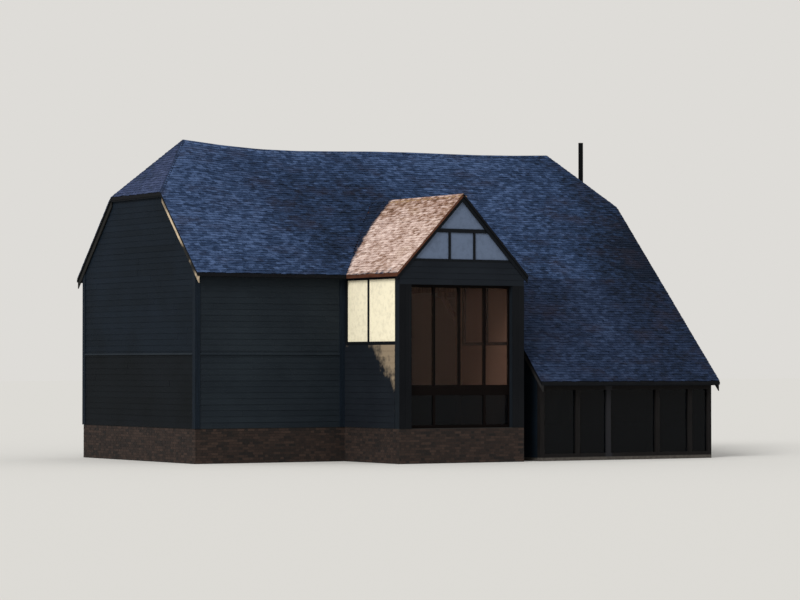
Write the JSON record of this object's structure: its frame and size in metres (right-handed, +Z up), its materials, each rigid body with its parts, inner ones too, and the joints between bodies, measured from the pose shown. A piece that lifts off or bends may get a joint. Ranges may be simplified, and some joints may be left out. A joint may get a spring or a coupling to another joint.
{
  "type": "threshing barn",
  "caption": "Timber-framed threshing barn with half-hipped tiled roof, gabled glazed porch and a catslide outshot.",
  "frame": {"origin": "centre of the plan outline of the roofs, at the lowest ground level", "axes": "+X along the barn towards the catslide end, +Y from the porch side to the back, +Z up"},
  "size_m": [16.2, 10.9, 9.9003],
  "materials": {
    "brick": "matt, weathered red brick",
    "floor": "worn",
    "boards": "black stained weatherboard",
    "frame": "dark stained timber",
    "screen": "dark red-brown joinery",
    "oak": "weathered oak",
    "plaster": "smooth limewashed render",
    "glass": "clear",
    "tiles": "clay peg tiles",
    "barge": "weathered pale board",
    "flue": "matt black"
  },
  "bodies": {
    "root": {"left_plinth": "brick", "front_plinth": "brick", "rear_plinth": "brick", "right_plinth": "brick", "aisle_plinth": "brick", "porch_side_plinths": "brick", "porch_front_plinth": "brick", "threshing_floor": "floor", "porch_floor": "floor", "outshot_floor": "floor", "front_wall": "boards", "slot_wall": "boards", "left_gable_wall": "boards", "right_gable_wall": "boards", "rear_walls": "boards", "rear_wall_over": "boards", "rear_door_left": "boards", "rear_door_right": "boards", "porch_side_boarding": "boards", "porch_side_frames": "frame", "porch_side_panels": "plaster", "porch_corner_posts": "boards", "porch_band": "boards", "porch_gable_frame": "frame", "porch_gable_panels": "plaster", "porch_screen_frame": "screen", "porch_screen_glass": "glass", "outshot_posts": "oak", "outshot_beam": "oak", "outshot_sills": "oak", "outshot_glass": "glass", "outshot_left_wall": "boards", "outshot_right_wall": "boards", "arcade_posts": "oak", "tie_beams": "oak", "front_plate": "oak", "front_roof": "tiles", "rear_roof": "tiles", "catslide_roof": "tiles", "left_half_hip": "tiles", "right_half_hip": "tiles", "porch_roof_left": "tiles", "porch_roof_right": "tiles", "main_ridge_tiles": "tiles", "porch_ridge_tiles": "tiles", "hip_tiles": "tiles", "left_bargeboards": "barge", "right_bargeboards": "barge", "porch_bargeboards": "frame", "flue_pipe": "flue", "braces": "oak", "roof_trusses": "oak", "purlins": "oak", "eaves_boards": "frame", "corner_boards": "boards"}
  },
  "joints": []
}
